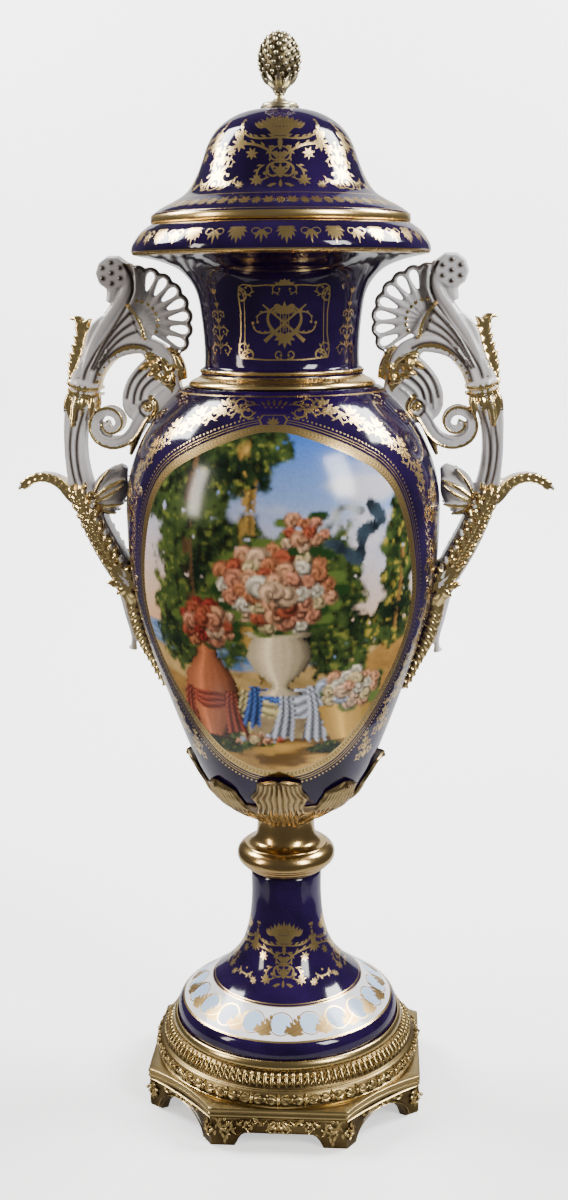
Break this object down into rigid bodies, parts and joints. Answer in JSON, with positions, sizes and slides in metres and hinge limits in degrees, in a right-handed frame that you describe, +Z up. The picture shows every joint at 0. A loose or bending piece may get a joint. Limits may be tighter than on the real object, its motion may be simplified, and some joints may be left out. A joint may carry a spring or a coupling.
{
  "type": "lidded porcelain vase",
  "caption": "Tall lidded porcelain vase with two scrolled handles, a gilt pine-cone finial, a gilt leaf cup and a footed bronze base.",
  "frame": {"origin": "middle of the underside, on the plane the feet stand on", "axes": "+Z up, handles along X, front with the painted panel towards -Y"},
  "size_m": [0.634, 0.369, 1.269],
  "materials": {
    "cobalt_porcelain": "glazed porcelain, deep cobalt with burnished gilding and painted panels",
    "white_gilt_porcelain": "glazed white porcelain with worn gilding on edges and leaves",
    "gilt_bronze": "gilt bronze, polished with darker recesses",
    "aged_bronze": "cast bronze with worn highlights and brown recesses"
  },
  "bodies": {
    "root": {"bronze_base": "aged_bronze", "pedestal": "cobalt_porcelain", "knop": "gilt_bronze", "leaf_cup": "gilt_bronze", "body": "cobalt_porcelain", "handle_right": "white_gilt_porcelain", "handle_left": "white_gilt_porcelain", "lid": "cobalt_porcelain", "finial": "gilt_bronze"}
  },
  "joints": []
}
